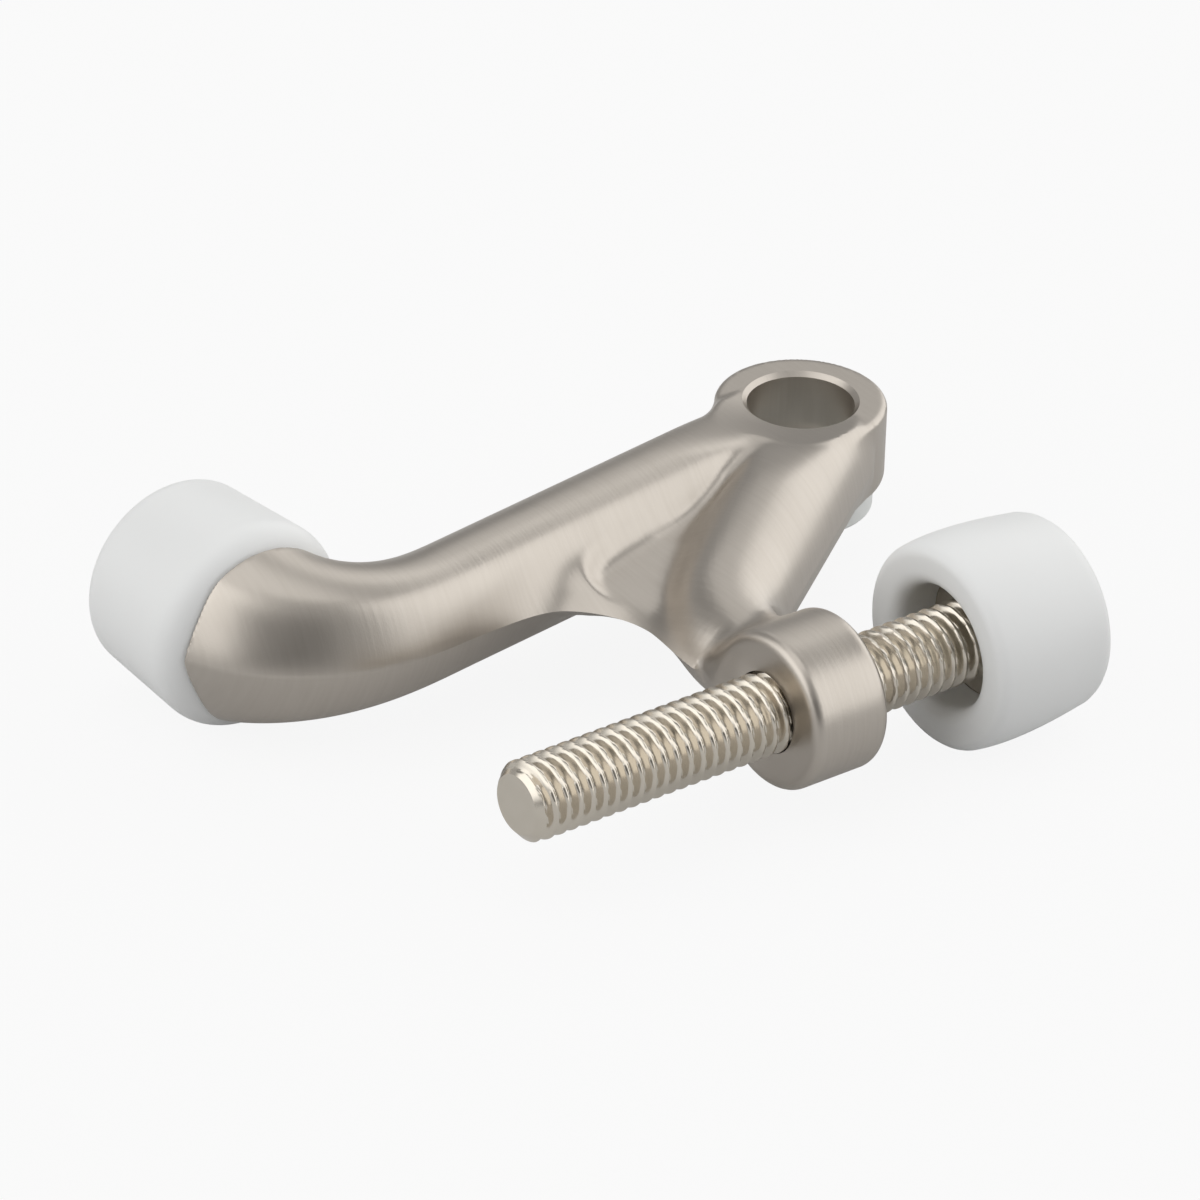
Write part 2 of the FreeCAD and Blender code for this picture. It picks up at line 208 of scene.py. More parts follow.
# Noise in the materials: scale for each metre, and detail. A noise runs mostly within the span given last.
BRUSH_NOISE = (260.0, 3.0)
BRUSH_STRETCH = (10.0, 0.6, 0.6)
GRAIN_NOISE = (4200.0, 2.0)
SHEEN_NOISE = (90.0, 2.0)
PLATING_NOISE = (700.0, 3.0)
SKIN_NOISE = (1600.0, 3.0)
CLOUD_NOISE = (110.0, 2.0)
NOISE_SPAN = (0.3, 0.7)

# Relief that the noise gives: bump strength, and depth in metres.
BRUSH_RELIEF = (0.10, 0.00012)
GRAIN_RELIEF = (0.12, 0.00005)
PLATING_RELIEF = (0.10, 0.00008)
SKIN_RELIEF = (0.10, 0.00006)

# Colours of the materials, and the spans that colour and roughness run over.
NICKEL_COLOR = (0.54, 0.50, 0.45)
NICKEL_TINTS = ((0.510, 0.468, 0.418), (0.575, 0.533, 0.483))
NICKEL_ROUGHNESS = (0.29, 0.38)
BRIGHT_COLOR = (0.76, 0.71, 0.63)
BRIGHT_TINTS = ((0.66, 0.61, 0.53), (0.74, 0.69, 0.61))
BRIGHT_ROUGHNESS = (0.13, 0.25)
RUBBER_COLOR = (0.87, 0.88, 0.88)
RUBBER_ROUGHNESS = (0.36, 0.50)
NYLON_COLOR = (0.82, 0.84, 0.83)
NYLON_ROUGHNESS = (0.30, 0.42)

# Camera, at the photograph's angle: lens and sensor in millimetres, clipping and place in metres.
CAMERA_LENS = 382.68
CAMERA_SENSOR = 36.0
CAMERA_CLIP = (0.05, 20.0)
CAMERA_PLACE = Matrix((
    (0.7926, 0.2866, -0.5382, -0.67846),
    (-0.6089, 0.4182, -0.6740, -0.82001),
    (0.0319, 0.8620, 0.5060, 0.61227),
    (0.0, 0.0, 0.0, 1.0),
))

# Floor, in metres. It and the room are white to the camera, and partly so to reflections.
FLOOR_REACH = 3.0
FLOOR_Z = -0.0039
FLOOR_COLOR = (0.58, 0.58, 0.58)
FLOOR_ROUGHNESS = 0.9
FLOOR_WHITE = 0.90
GLOSSY_WHITE = 0.15

# Soft studio light: a plain room that is paler overhead, with soft boxes and the darker gaps between them.
ROOM_LEVEL = 0.32
CEILING_GAIN = 0.82
CEILING_RISE = (58.0, 70.0)
ROOM_COLOR = (1.0, 0.995, 0.985, 1.0)
# Each patch: strength, azimuth, half width, softness, low, high, softness. Angles are in degrees.
ROOM_PATCHES = (
    (1.62, 172.0, 46.0, 12.0, 5.0, 62.0, 10.0),
    (0.76, 62.0, 30.0, 10.0, 26.0, 58.0, 5.0),
    (1.46, -18.0, 54.0, 9.0, -12.0, 51.0, 4.0),
    (0.20, 57.0, 17.0, 7.0, -2.0, 20.0, 6.0),
    (0.16, 104.0, 20.0, 9.0, 20.0, 58.0, 7.0),
    (0.02, -4.0, 28.0, 9.0, 53.0, 66.0, 4.0),
    (0.0, -128.6, 25.0, 7.0, -40.0, 32.0, 5.0),
)


def smooth_min(a, b, width):
    """The lesser of two distances, rounded off over a width."""
    share = np.maximum(width - np.abs(a - b), 0.0) / width
    return np.minimum(a, b) - share * share * width / 4


def smooth_max(a, b, width):
    """The greater of two distances, rounded off over a width."""
    return -smooth_min(-a, -b, width)


def section(side, z, radius, flank):
    """Distance to a round section whose sloping flanks meet in an edge at the parting line."""
    slope, reach = flank
    wedge = side * math.cos(slope) + z * math.sin(slope) - radius * reach
    bar = np.hypot(side, z) - radius
    if reach < 1.0:
        return smooth_max(bar, wedge, FLANK_BLEND)
    # A flank at full reach touches the round, so the two need no blend.
    return np.where(z < side * math.tan(slope), wedge, bar)


def off_segment(x, y, start, end):
    """How far a point lies off a segment in plan, and the segment's own half width there."""
    start_x, start_y, start_width = start
    run_x = end[0] - start_x
    run_y = end[1] - start_y
    length = math.hypot(run_x, run_y)
    along = ((x - start_x) * run_x + (y - start_y) * run_y) / (length * length)
    along = np.clip(along, 0.0, 1.0)
    side = np.hypot(x - start_x - along * run_x, y - start_y - along * run_y)
    return side, start_width + along * (end[2] - start_width)


def limb(x, y, z, path, flank):
    """Distance to a limb whose axis runs through plan points, each with its own radius."""
    nearest, nearest_radius = off_segment(x, y, path[0], path[1])
    for start, end in zip(path[1:], path[2:]):
        side, radius = off_segment(x, y, start, end)
        closer = side - radius < nearest - nearest_radius
        nearest = np.where(closer, side, nearest)
        nearest_radius = np.where(closer, radius, nearest_radius)
    return section(nearest, z, nearest_radius, flank)


def taper(x, y, path):
    """Distance in plan to a strip whose half width changes along its middle."""
    nearest = None
    for start, end in zip(path, path[1:]):
        side, half_width = off_segment(x, y, start, end)
        off = side - half_width
        nearest = off if nearest is None else smooth_min(nearest, off, VALLEY_BEND_BLEND)
    return nearest


def rounded_cylinder(across, along, radius, half, edge):
    """Distance to a cylinder with rounded rims, from the distance off its axis and along it."""
    out_across = across - radius + edge
    out_along = np.abs(along) - half + edge
    outside = np.hypot(np.maximum(out_across, 0.0), np.maximum(out_along, 0.0))
    return np.minimum(np.maximum(out_across, out_along), 0.0) + outside - edge


def inner_edge(along):
    """A point on the arm's back edge in plan, some way along it."""
    return (-along * math.cos(ARM_ANGLE) - ARM_RADIUS * math.sin(ARM_ANGLE),
            -along * math.sin(ARM_ANGLE) + ARM_RADIUS * math.cos(ARM_ANGLE))


def behind_arm(x, y):
    """How far a point lies behind the arm's axis in plan."""
    return y * math.cos(ARM_ANGLE) - x * math.sin(ARM_ANGLE)


def elbow(x, y, z):
    """Distance to the elbow: round sections that turn about its inner side and grow to the bumper."""
    first = inner_edge(ELBOW_START)
    corner = inner_edge(ARM_LENGTH)
    last = (SHOULDER_RADIUS + CAP_X, CAP_RIM_Y)
    turn = math.pi / 2 + ARM_ANGLE
    low = np.zeros(np.broadcast(x, y).shape)
    high = np.ones(low.shape)
    for _ in range(ELBOW_ROUNDS):
        share = (low + high) / 2
        rest = 1 - share
        from_x = x - rest * rest * first[0] - 2 * share * rest * corner[0] - share * share * last[0]
        from_y = y - rest * rest * first[1] - 2 * share * rest * corner[1] - share * share * last[1]
        turned = share * share * (2 - share)
        heading = ARM_ANGLE - turned * turn
        off = from_x * np.cos(heading) + from_y * np.sin(heading)
        before = off > 0
        high = np.where(before, share, high)
        low = np.where(before, low, share)
    out = from_x * np.sin(heading) - from_y * np.cos(heading)
    radius = ARM_RADIUS + turned ** ELBOW_SWELL * (SHOULDER_RADIUS - ARM_RADIUS)
    here = section(np.abs(out - radius), z, radius, ARM_FLANK)
    off = np.abs(off)
    return np.where(off < ELBOW_END_GAP, here, np.maximum(here, off))


def rounded_path(points):
    """A path with its corners cut off again and again."""
    keep = 1 - CORNER_CUT
    for _ in range(CORNER_ROUNDS):
        cut = [points[0]]
        for start, end in zip(points, points[1:]):
            cut.append(tuple(keep * s + CORNER_CUT * e for s, e in zip(start, end)))
            cut.append(tuple(CORNER_CUT * s + keep * e for s, e in zip(start, end)))
        cut.append(points[-1])
        points = cut
    return points


def on_rib(point, along):
    """A plan point some way along the rib's straight axis from another, with the rib's radius."""
    return (point[0] - along * math.cos(RIB_ANGLE), point[1] - along * math.sin(RIB_ANGLE), RIB_RADIUS)


def rib_path():
    """The rib's axis: straight from the eye, then bent down to the boss."""
    side = EYE_RADIUS - RIB_RADIUS
    foot = (side * math.sin(RIB_ANGLE), -side * math.cos(RIB_ANGLE))
    boss_point = (BOSS_X, SCREW_Y + BOSS_HALF, BOSS_HALF)
    return rounded_path([on_rib(foot, RIB_START), on_rib(foot, RIB_LENGTH), RIB_BEND, boss_point])


ARM_PATH = [(0.0, 0.0, ARM_RADIUS),
            (-ELBOW_START * math.cos(ARM_ANGLE), -ELBOW_START * math.sin(ARM_ANGLE), ARM_RADIUS)]
RIB_PATH = rib_path()
RIB_STRAIGHT_PATH = [RIB_PATH[0], on_rib(RIB_PATH[0], RIB_STRAIGHT)]


def web(x, y, z):
    """Distance to the web between arm and rib: sloping flank at the crotch, and a valley sunk in its top."""
    corner_x = np.maximum(x - WEB_LEFT + CROTCH_RADIUS, 0.0)
    corner_y = np.maximum(y - CROTCH_TOP + CROTCH_RADIUS, 0.0)
    inward = np.hypot(corner_x, corner_y) - CROTCH_RADIUS
    flank = z * math.sin(WEB_FLANK) - inward * math.cos(WEB_FLANK)
    fill = smooth_max(flank, z - WEB_TOP, WEB_TOP_BLEND)
    valley = smooth_min(taper(x, y, VALLEY_UPPER), taper(x, y, VALLEY_LOWER), VALLEY_BEND_BLEND)
    wall = (z - VALLEY_FLOOR) * VALLEY_WALL_SLOPE - valley
    floor_height = VALLEY_FLOOR + VALLEY_RISE * np.clip(inward, 0.0, VALLEY_RISE_RUN)
    hollow = smooth_min(wall, z - floor_height, VALLEY_FOOT_BLEND)
    fill = smooth_max(fill, hollow, VALLEY_RIM_BLEND)
    start_x, start_y, _ = RIB_PATH[0]
    rib_side = (x - start_x) * math.sin(RIB_ANGLE) - (y - start_y) * math.cos(RIB_ANGLE)
    foot = np.maximum(SCREW_Y + WEB_FOOT - y, (WEB_END - x) * WEB_FOOT_SLOPE)
    return np.maximum(smooth_max(fill, foot, WEB_FOOT_BLEND), np.maximum(behind_arm(x, y), rib_side))


def bend_distance(x, y, z, arm):
    """Distance to the elbow with the shoulder under the bumper, cut off at the bumper's rim."""
    inner_across = np.hypot(x - CAP_X - SHOULDER_INSET, z)
    shoulder = rounded_cylinder(inner_across, y - CAP_RIM_Y + SHOULDER_HALF,
                                SHOULDER_RADIUS - SHOULDER_INSET, SHOULDER_HALF, SHOULDER_ROUND)
    inner_side = np.clip((behind_arm(x, y) - INNER_BLEND_OFF) / INNER_BLEND_RUN, 0.0, 1.0)
    inner_side = inner_side * np.clip((INNER_BLEND_X - x) / INNER_BLEND_RUN, 0.0, 1.0)
    width = INNER_CREASE + INNER_BLEND * inner_side
    bend = smooth_min(elbow(x, y, z), smooth_min(arm, shoulder, SHOULDER_BLEND), width)
    return smooth_max(bend, y - CAP_RIM_Y, CAP_RIM_BLEND)


def limbs_distance(x, y, z):
    """Distance to the arm, rib, web and boss, run together and cut back for the screw's bumper."""
    arm = limb(x, y, z, ARM_PATH, ARM_FLANK)
    bend = bend_distance(x, y, z, arm)
    rib = limb(x, y, z, RIB_PATH, RIB_FLANK)
    limbs = smooth_min(np.minimum(arm, bend), rib, RIB_BLEND)
    limbs = smooth_min(limbs, web(x, y, z), WEB_BLEND)
    boss_across = np.hypot(y - SCREW_Y, z)
    boss = rounded_cylinder(boss_across, x - BOSS_X, BOSS_RADIUS, BOSS_HALF, BOSS_ROUND)
    limbs = smooth_min(limbs, boss, BOSS_BLEND)
    bumper_room = x - BUMPER_ROOM_X - BUMPER_ROOM_SLOPE * np.maximum(y - BUMPER_ROOM_Y, 0.0)
    return smooth_max(limbs, bumper_room, BUMPER_ROOM_BLEND)


def casting_distance(x, y, z, under):
    """Distance to one half of the casting, not yet bored. z is the height off the mid plane, 0 or more."""
    limbs = limbs_distance(x, y, z)
    out = np.hypot(x, y)
    if under:
        faced = np.minimum(SPOT_RADIUS - out, z - EYE_HALF)
        eye = rounded_cylinder(out, z, EYE_RADIUS, EYE_HALF, EYE_UNDER_ROUND)
    else:
        faced = z - EYE_HALF - np.maximum(out - BORE_RADIUS - BORE_CHAMFER, 0.0) * SWELL_SLOPE
        eye = rounded_cylinder(out, z, EYE_RADIUS, EYE_HALF, EYE_TOP_ROUND)
    limbs = smooth_max(limbs, faced, FACE_BLEND)
    heading_x, heading_y = EYE_BLEND_HEADING
    towards = EYE_BLEND_START - (x * heading_x + y * heading_y) / np.maximum(out, 1.0)
    width = EYE_CREASE + EYE_BLEND * np.clip(towards, 0.0, 1.0)
    body = np.maximum(smooth_min(limbs, eye, width), faced)
    # Near the eye, no blend swells past the plan outline of eye, arm and rib.
    level = 0.0 * z
    plan = np.minimum(limb(x, y, level, ARM_PATH, ARM_FLANK), limb(x, y, level, RIB_STRAIGHT_PATH, RIB_FLANK))
    plan = np.minimum(plan, out - EYE_RADIUS)
    body = np.where(out < EYE_ZONE_RADIUS, np.maximum(body, plan), body)
    cap_across = np.hypot(x - CAP_X, z)
    neck_half = (NECK_END - CAP_RIM_Y + NECK_OVERLAP) / 2
    neck = rounded_cylinder(cap_across, y - NECK_END + neck_half, NECK_RADIUS, neck_half, HEAD_ROUND)
    head_half = (HEAD_END - NECK_END) / 2
    head = rounded_cylinder(cap_across, y - HEAD_END + head_half, HEAD_RADIUS, head_half, HEAD_ROUND)
    return np.minimum(body, np.minimum(neck, head))


def crossing_points(values, cells):
    """For each cell that the surface passes through, the mean of its edges' crossings, in cell units."""
    i, j, k = cells
    total = np.zeros((len(i), 3))
    count = np.zeros(len(i))
    for axis in range(3):
        others = [a for a in range(3) if a != axis]
        for first in (0, 1):
            for second in (0, 1):
                start = [0, 0, 0]
                start[others[0]] = first
                start[others[1]] = second
                end = list(start)
                end[axis] = 1
                low = values[i + start[0], j + start[1], k + start[2]]
                high = values[i + end[0], j + end[1], k + end[2]]
                crossed = (low < 0) != (high < 0)
                gap = np.where(crossed, low - high, 1.0)
                share = np.where(crossed, low / gap, 0.0)
                spot = np.tile(np.array(start, dtype=float), (len(i), 1))
                spot[:, axis] = share
                total += spot * crossed[:, None]
                count += crossed
    return total / count[:, None]


def surface_net(values):
    """A quad mesh through a grid of distances, in grid units."""
    inside = values < 0
    corners = np.zeros(tuple(n - 1 for n in values.shape), dtype=int)
    for a in (0, 1):
        for b in (0, 1):
            for c in (0, 1):
                window = tuple(slice(at, at + size) for at, size in zip((a, b, c), corners.shape))
                corners += inside[window]
    cells = np.nonzero((corners > 0) & (corners < 8))
    points = np.stack(cells, axis=1) + crossing_points(values, cells)
    number = np.full(corners.shape, -1)
    number[cells] = np.arange(len(cells[0]))
    quads = []
    for axis in range(3):
        second = (axis + 1) % 3
        third = (axis + 2) % 3
        low = np.take(inside, range(inside.shape[axis] - 1), axis=axis)
        high = np.take(inside, range(1, inside.shape[axis]), axis=axis)
        spots = np.array(np.nonzero(low != high))
        fits = (spots[second] > 0) & (spots[third] > 0)
        fits &= (spots[second] < corners.shape[second]) & (spots[third] < corners.shape[third])
        spots = spots[:, fits]
        around = []
        for step_second, step_third in ((1, 1), (0, 1), (0, 0), (1, 0)):
            cell = spots.copy()
            cell[second] -= step_second
            cell[third] -= step_third
            around.append(number[tuple(cell)])
        around = np.stack(around, axis=1)
        outward = low[tuple(spots)]
        quads.append(np.where(outward[:, None], around, around[:, ::-1]))
    return points, np.concatenate(quads)


def settle(points, under):
    """Move points onto the casting's surface, those on the mid plane within it."""

    def distance(x, y, z):
        return casting_distance(x, y, z, under)

    nudge = SETTLE_NUDGE
    flat = points[:, 2] < FLAT_LIMIT
    for _ in range(SETTLE_ROUNDS):
        x, y, z = points.T
        here = distance(x, y, z)
        slope_x = (distance(x + nudge, y, z) - distance(x - nudge, y, z)) / (2 * nudge)
        slope_y = (distance(x, y + nudge, z) - distance(x, y - nudge, z)) / (2 * nudge)
        slope_z = (distance(x, y, z + nudge) - distance(x, y, np.abs(z - nudge))) / (2 * nudge)
        slope_z = np.where(flat, 0.0, slope_z)
        slope = np.stack([slope_x, slope_y, slope_z], axis=1)
        steepness = np.maximum((slope * slope).sum(axis=1), SETTLE_LEAST_SLOPE)
        move = np.clip(here / steepness, -SETTLE_REACH, SETTLE_REACH)
        points = points - slope * move[:, None]
        points[:, 2] = np.where(flat, 0.0, np.maximum(points[:, 2], 0.0))
    return points


def new_mesh_object(name, points, faces):
    """An object from points in metres and faces, smooth shaded."""
    mesh = bpy.data.meshes.new(name)
    mesh.from_pydata([tuple(p) for p in points], [], [tuple(int(i) for i in f) for f in faces])
    mesh.validate()
    mesh.shade_smooth()
    item = bpy.data.objects.new(name, mesh)
    scene.collection.objects.link(item)
    return item


def ring(radii, height, place):
    """A ring of points in metres, with a radius for each spoke; place maps it into the frame."""
    points = []
    for spoke, radius in enumerate(radii):
        angle = 2 * math.pi * spoke / len(radii)
        spot = place(radius * math.cos(angle), radius * math.sin(angle), height)
        points.append(tuple(c * MM for c in spot))
    return points


def stacked(name, rings):
    """A closed mesh through rings of as many points each, capped at both ends."""
    spokes = len(rings[0])
    faces = []
    for row in range(len(rings) - 1):
        here = row * spokes
        above = here + spokes
        for spoke in range(spokes):
            after = (spoke + 1) % spokes
            faces.append((here + spoke, here + after, above + after, above + spoke))
    last = (len(rings) - 1) * spokes
    faces.append(tuple(range(spokes))[::-1])
    faces.append(tuple(last + spoke for spoke in range(spokes)))
    return new_mesh_object(name, [point for points in rings for point in points], faces)


def lathe(name, profile, segments, place):
    """A turned mesh from (radius, height) pairs in millimetres."""
    return stacked(name, [ring([radius] * segments, height, place) for radius, height in profile])


def along_z(a, b, height):
    """A place about the eye's axis."""
    return (a, b, height + MID_HEIGHT)


def along_x(a, b, height):
    """A place about the screw's axis."""
    return (height, a + SCREW_Y, b + MID_HEIGHT)


def cut_away(item, cutter):
    """Take a closed mesh out of another, for good."""
    modifier = item.modifiers.new("cut", "BOOLEAN")
    modifier.object = cutter
    modifier.operation = "DIFFERENCE"
    modifier.solver = "EXACT"
    bpy.context.view_layer.update()
    graph = bpy.context.evaluated_depsgraph_get()
    mesh = bpy.data.meshes.new_from_object(item.evaluated_get(graph))
    item.modifiers.clear()
    item.data = mesh
    bpy.data.objects.remove(cutter)


def casting_half(under):
    """Points and quads of one half of the casting over its mid plane, in millimetres."""
    x = np.arange(*GRID_X, GRID_STEP)
    y = np.arange(*GRID_Y, GRID_STEP)
    z = (np.arange(GRID_LAYERS) - 0.5) * GRID_STEP
    values = casting_distance(x[:, None, None], y[None, :, None], np.abs(z)[None, None, :], under)
    values = np.broadcast_to(values, (len(x), len(y), len(z)))
    points, quads = surface_net(values)
    points = points * GRID_STEP + np.array([GRID_X[0], GRID_Y[0], z[0]])
    points[:, 2] = np.where(points[:, 2] < MID_SNAP * GRID_STEP, 0.0, points[:, 2])
    return settle(points, under), quads


def make_casting():
    """The casting: a smooth skin over its distance field, made in two halves that are joined, then bored."""
    upper_points, upper_quads = casting_half(False)
    under_points, under_quads = casting_half(True)
    under_points = under_points * np.array([1, 1, -1])
    points = np.concatenate([upper_points, under_points])
    points[:, 2] += MID_HEIGHT
    quads = np.concatenate([upper_quads, under_quads[:, ::-1] + len(upper_points)])
    item = new_mesh_object("casting_skin", points * MM, quads)
    joined = bmesh.new()
    joined.from_mesh(item.data)
    bmesh.ops.remove_doubles(joined, verts=joined.verts, dist=WELD_DISTANCE * MM)
    joined.to_mesh(item.data)
    joined.free()
    bore = lathe("bore_cutter", [
        (BORE_RADIUS, -BORE_REACH),
        (BORE_RADIUS, EYE_HALF - BORE_CHAMFER),
        (BORE_RADIUS + BORE_CHAMFER, EYE_HALF),
        (BORE_RADIUS + BORE_CHAMFER, BORE_REACH),
    ], BORE_SEGMENTS, along_z)
    cut_away(item, bore)
    hole = lathe("hole_cutter", [
        (SCREW_HOLE, WEB_LEFT - HOLE_MARGIN),
        (SCREW_HOLE, BOSS_X + BOSS_HALF + HOLE_MARGIN),
    ], HOLE_SEGMENTS, along_x)
    cut_away(item, hole)
    return item


def thread_radius(x, turn):
    """Radius of the thread at a place along the screw and a share of a turn."""
    phase = (x / PITCH - turn) % 1.0
    climb = abs(phase - 0.5) * 2
    wave = min(max((climb - ROOT_SHARE) / FLANK_SHARE, 0.0), 1.0)
    wave = wave * wave * (3 - 2 * wave) * THREAD_ROUNDING + wave * (1 - THREAD_ROUNDING)
    radius = ROOT + (CREST - ROOT) * wave
    end = SCREW_END_RADIUS + (x - SCREW_END) * SCREW_END_SLOPE
    return min(radius, end)


def make_screw():
    """The threaded screw as rows of rings from the free end to the head's face."""
    rows = int((SCREW_SEAT - SCREW_END) / PITCH * ROWS_PER_PITCH)
    rings = []
    for row in range(rows + 1):
        x = SCREW_END + (SCREW_SEAT - SCREW_END) * row / rows
        radii = [thread_radius(x, spoke / SCREW_SEGMENTS) for spoke in range(SCREW_SEGMENTS)]
        rings.append(ring(radii, x, along_x))
    head = (
        (HEAD_RADIUS - HEAD_EDGE, SCREW_SEAT),
        (HEAD_RADIUS, SCREW_SEAT + HEAD_EDGE),
        (HEAD_RADIUS, HEAD_FACE - HEAD_EDGE),
        (HEAD_RADIUS - HEAD_EDGE, HEAD_FACE),
    )
    for radius, x in head:
        rings.append(ring([radius] * SCREW_SEGMENTS, x, along_x))
    return stacked("threaded_screw", rings)


def quarter(center_radius, center_x, size, start):
    """Points of a quarter round on a turned profile, from a start angle in degrees off the radius."""
    points = []
    for step in range(QUARTER_STEPS + 1):
        angle = math.radians(start + 90.0 * step / QUARTER_STEPS)
        points.append((center_radius + size * math.cos(angle), center_x + size * math.sin(angle)))
    return points


def make_screw_bumper():
    """The bumper on the screw, turned about the screw's axis."""
    profile = [(CAVITY_RADIUS, CAVITY_END_X), (CAVITY_RADIUS, CAVITY_FRONT_X), (MOUTH_RADIUS, CAVITY_FRONT_X)]
    profile += quarter(MOUTH_RADIUS + MOUTH_ROUND, BUMPER_RIM_X + MOUTH_ROUND, MOUTH_ROUND, 180.0)
    profile += quarter(BUMPER_RIM_RADIUS - BUMPER_RIM_ROUND, BUMPER_RIM_X + BUMPER_RIM_ROUND,
                       BUMPER_RIM_ROUND, 270.0)
    side_end = (BUMPER_END_RADIUS, BUMPER_END_X - BUMPER_END_ROUND)
    corners = (profile[-1], BUMPER_BELLY, side_end)
    for step in range(1, BUMPER_SIDE_STEPS):
        share = step / BUMPER_SIDE_STEPS
        weights = ((1 - share) ** 2, 2 * share * (1 - share), share ** 2)
        profile.append(tuple(sum(w * c[k] for w, c in zip(weights, corners)) for k in (0, 1)))
    profile += quarter(BUMPER_END_RADIUS - BUMPER_END_ROUND, BUMPER_END_X - BUMPER_END_ROUND,
                       BUMPER_END_ROUND, 0.0)
    return lathe("moulded_screw_bumper", profile, BUMPER_SEGMENTS, along_x)


def mark_sharp(item, angle):
    """Mark the edges that bend by more than an angle as sharp."""
    item.data.shade_smooth()
    item.data.set_sharp_from_angle(angle=angle)


def linked(tree, kind, inputs=None):
    """A new node. Inputs are sockets by name or number, each with a value or another node's socket."""
    node = tree.nodes.new(kind)
    for key, source in (inputs or {}).items():
        if hasattr(source, "is_output"):
            tree.links.new(source, node.inputs[key])
        else:
            node.inputs[key].default_value = source
    return node


def principled(name, color, metallic, roughness):
    """A material with one principled shader, and that shader."""
    material = bpy.data.materials.new(name)
    material.use_nodes = True
    shader = material.node_tree.nodes["Principled BSDF"]
    shader.inputs["Base Color"].default_value = (*color, 1.0)
    shader.inputs["Metallic"].default_value = metallic
    shader.inputs["Roughness"].default_value = roughness
    return material, shader


def own_coordinates(material):
    """The piece's own coordinates, as a socket."""
    return linked(material.node_tree, "ShaderNodeTexCoord").outputs["Object"]


def noise(material, coordinates, scale, detail, stretch=(1.0, 1.0, 1.0)):
    """A noise over the piece's own coordinates, as a socket between 0 and 1."""
    mapping = linked(material.node_tree, "ShaderNodeMapping", {"Vector": coordinates, "Scale": stretch})
    texture = linked(material.node_tree, "ShaderNodeTexNoise", {
        "Vector": mapping.outputs["Vector"],
        "Scale": scale,
        "Detail": detail,
    })
    return texture.outputs["Fac"]


def roughened(material, shader, share, low, high):
    """Let a shader's roughness run from low to high with a noise."""
    span = linked(material.node_tree, "ShaderNodeMapRange", {
        "Value": share,
        "From Min": NOISE_SPAN[0],
        "From Max": NOISE_SPAN[1],
        "To Min": low,
        "To Max": high,
    })
    material.node_tree.links.new(span.outputs["Result"], shader.inputs["Roughness"])


def tinted(material, shader, share, low, high):
    """Let a shader's colour run between two colours with a noise."""
    mix = material.node_tree.nodes.new("ShaderNodeMix")
    mix.data_type = "RGBA"
    colors = [socket for socket in mix.inputs if socket.type == "RGBA"]
    colors[0].default_value = (*low, 1.0)
    colors[1].default_value = (*high, 1.0)
    material.node_tree.links.new(share, mix.inputs["Factor"])
    result = [socket for socket in mix.outputs if socket.type == "RGBA"][0]
    material.node_tree.links.new(result, shader.inputs["Base Color"])


def bumped(material, shader, reliefs):
    """Chain fine reliefs into a shader's normal: each a height socket, a strength and a depth in metres."""
    normal = None
    for height_socket, (strength, depth) in reliefs:
        inputs = {"Strength": strength, "Distance": depth, "Height": height_socket}
        if normal is not None:
            inputs["Normal"] = normal
        normal = linked(material.node_tree, "ShaderNodeBump", inputs).outputs["Normal"]
    material.node_tree.links.new(normal, shader.inputs["Normal"])


# The casting, in satin nickel.
casting = make_casting()
mark_sharp(casting, CASTING_SHARP)
nickel, nickel_shader = principled("satin_nickel", NICKEL_COLOR, 1.0, 0.33)
nickel_place = own_coordinates(nickel)
brush = noise(nickel, nickel_place, *BRUSH_NOISE, BRUSH_STRETCH)
grain = noise(nickel, nickel_place, *GRAIN_NOISE)
sheen = noise(nickel, nickel_place, *SHEEN_NOISE)
tinted(nickel, nickel_shader, brush, *NICKEL_TINTS)
roughened(nickel, nickel_shader, sheen, *NICKEL_ROUGHNESS)
bumped(nickel, nickel_shader, [(brush, BRUSH_RELIEF), (grain, GRAIN_RELIEF)])
casting.data.materials.clear()
casting.data.materials.append(nickel)
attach(casting, "casting")
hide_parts("stop_body")

# The screw, in bright nickel.
screw = make_screw()
mark_sharp(screw, SCREW_SHARP)
bright, bright_shader = principled("bright_nickel", BRIGHT_COLOR, 1.0, 0.18)
plating = noise(bright, own_coordinates(bright), *PLATING_NOISE)
tinted(bright, bright_shader, plating, *BRIGHT_TINTS)
roughened(bright, bright_shader, plating, *BRIGHT_ROUGHNESS)
bumped(bright, bright_shader, [(plating, PLATING_RELIEF)])
screw.data.materials.append(bright)
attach(screw, "screw")
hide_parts("adjusting_screw")

# White rubber and nylon.
rubber, rubber_shader = principled("white_rubber", RUBBER_COLOR, 0.0, 0.42)
nylon, nylon_shader = principled("white_nylon", NYLON_COLOR, 0.0, 0.35)
soft_materials = ((rubber, rubber_shader, RUBBER_ROUGHNESS), (nylon, nylon_shader, NYLON_ROUGHNESS))
for soft, soft_shader, soft_roughness in soft_materials:
    soft_place = own_coordinates(soft)
    skin = noise(soft, soft_place, *SKIN_NOISE)
    cloud = noise(soft, soft_place, *CLOUD_NOISE)
    roughened(soft, soft_shader, cloud, *soft_roughness)
    bumped(soft, soft_shader, [(skin, SKIN_RELIEF)])

# The screw's bumper. The arm's bumper and the bush keep their solids' shapes.
screw_bumper = make_screw_bumper()
mark_sharp(screw_bumper, BUMPER_SHARP)
screw_bumper.data.materials.append(rubber)
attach(screw_bumper, "screw_tip")
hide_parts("screw_bumper")
for node_name, node_material in (("arm_bumper", rubber), ("pin_bush", nylon)):
    node_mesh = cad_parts[node_name].data
    node_mesh.materials.clear()
    node_mesh.materials.append(node_material)

